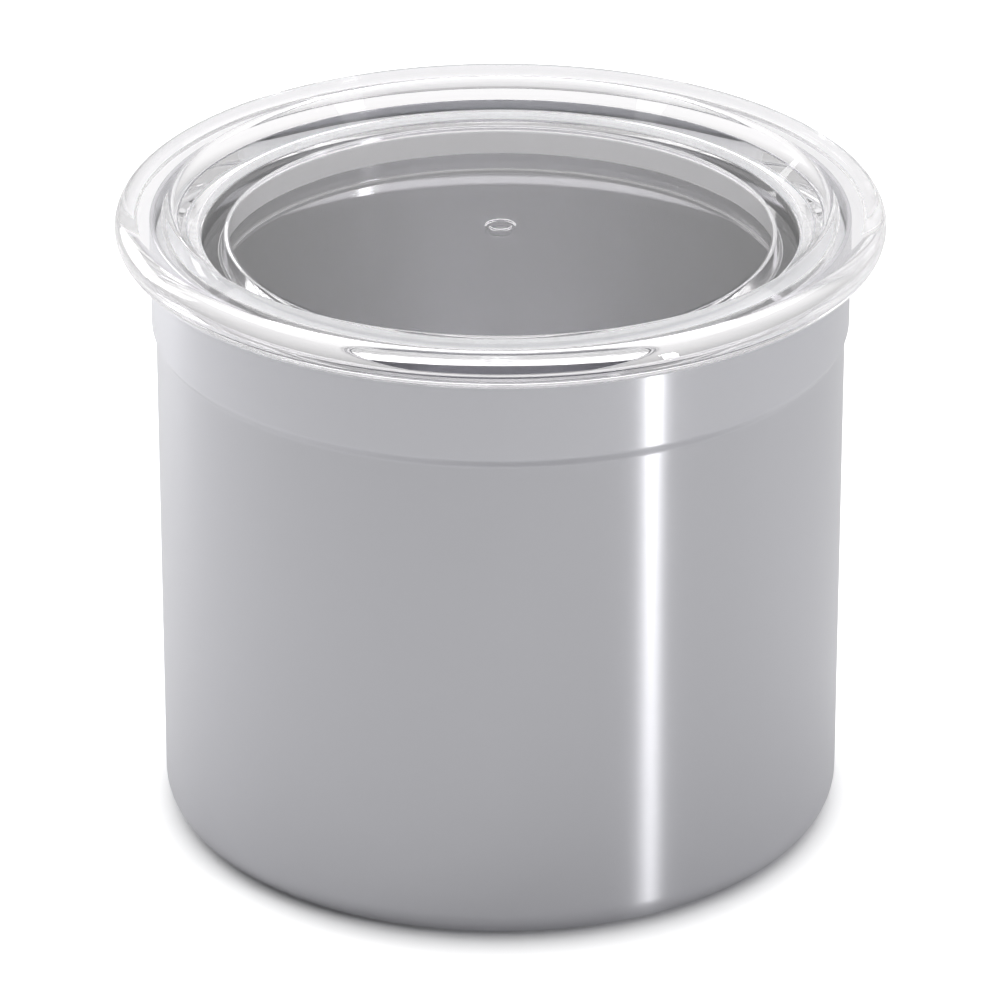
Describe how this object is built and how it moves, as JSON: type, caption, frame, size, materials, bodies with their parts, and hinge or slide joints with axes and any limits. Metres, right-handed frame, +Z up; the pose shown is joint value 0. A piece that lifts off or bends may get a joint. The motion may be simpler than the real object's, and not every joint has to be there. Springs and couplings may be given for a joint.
{
  "type": "vacuum seal canister",
  "caption": "Round straight-sided steel food canister, stepped out at the neck, with a clear plug lid whose soft lipped ring seals against the bore.",
  "frame": {"origin": "centre of the plane that the canister stands on, on its axis", "axes": "+Z up along the axis that every piece is turned about; X and Y are alike"},
  "size_m": [0.127, 0.127, 0.1075],
  "materials": {
    "brushed_steel": "drawn stainless steel, brushed round the side",
    "clear_acrylic": "clear moulded acrylic, polished",
    "silicone": "translucent food-grade silicone, satin"
  },
  "bodies": {
    "canister": {"canister_body": "brushed_steel"},
    "lid": {"lid": "clear_acrylic", "seal_gasket": "silicone"}
  },
  "joints": [
    {"name": "lid_lift", "type": "slide", "parent": "canister", "child": "lid", "axis": [0, 0, 1], "range_m": [0, 0.1]}
  ]
}
